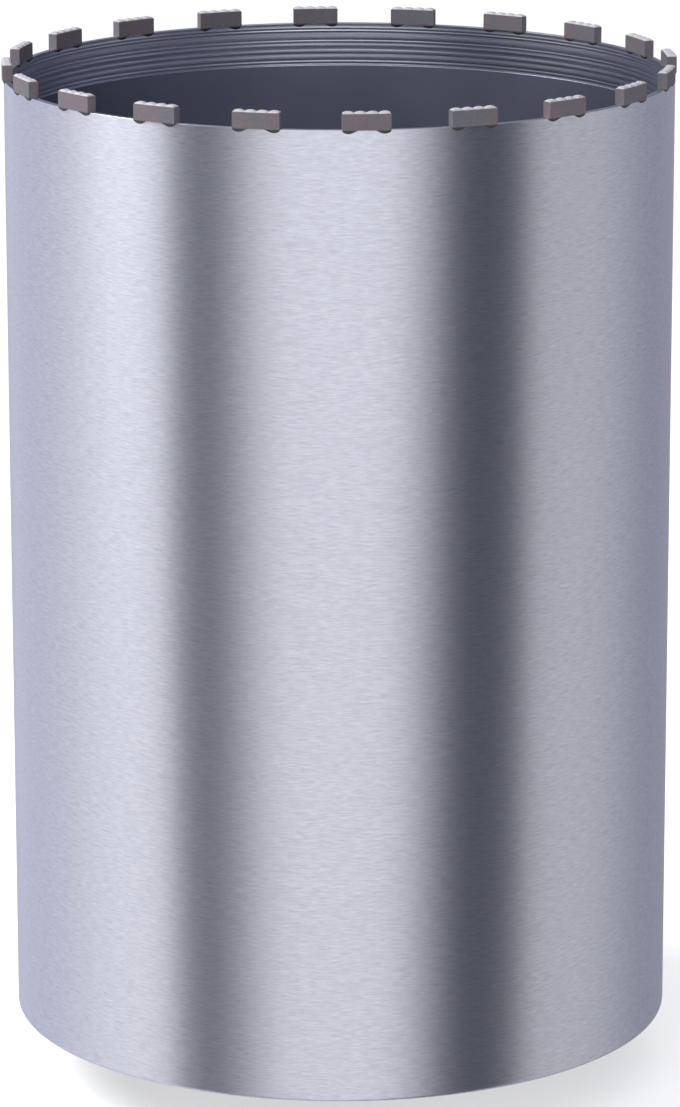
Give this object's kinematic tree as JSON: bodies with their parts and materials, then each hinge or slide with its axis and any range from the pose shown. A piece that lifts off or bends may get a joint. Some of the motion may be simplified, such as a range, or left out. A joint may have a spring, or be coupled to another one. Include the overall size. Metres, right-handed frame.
{
  "type": "diamond core bit",
  "caption": "Wet core drilling bit: a steel tube with sintered diamond segments welded on its rim, closed at the other end by a plate with a threaded hub.",
  "frame": {"origin": "on the bit's axis, in the hub's end face, which the bit stands on", "axes": "+Z along the axis from the hub to the cutting rim; X and Y across it, with the hub's two flats facing +Y and -Y"},
  "size_m": [0.3, 0.3, 0.4678],
  "materials": {
    "tube_steel": "brushed round the barrel, turned bore behind the rim",
    "plate_steel": "plain cut plate",
    "hub_steel": "turned",
    "weld_bead": "welded",
    "sintered_segment": "sintered metal with diamond grit"
  },
  "bodies": {
    "root": {"core_tube": "tube_steel", "end_plate": "plate_steel", "machine_hub": "hub_steel", "tube_weld": "weld_bead", "hub_weld": "weld_bead", "segment_01": "sintered_segment", "segment_02": "sintered_segment", "segment_03": "sintered_segment", "segment_04": "sintered_segment", "segment_05": "sintered_segment", "segment_06": "sintered_segment", "segment_07": "sintered_segment", "segment_08": "sintered_segment", "segment_09": "sintered_segment", "segment_10": "sintered_segment", "segment_11": "sintered_segment", "segment_12": "sintered_segment", "segment_13": "sintered_segment", "segment_14": "sintered_segment", "segment_15": "sintered_segment", "segment_16": "sintered_segment", "segment_17": "sintered_segment", "segment_18": "sintered_segment", "segment_19": "sintered_segment", "segment_20": "sintered_segment"}
  },
  "joints": []
}
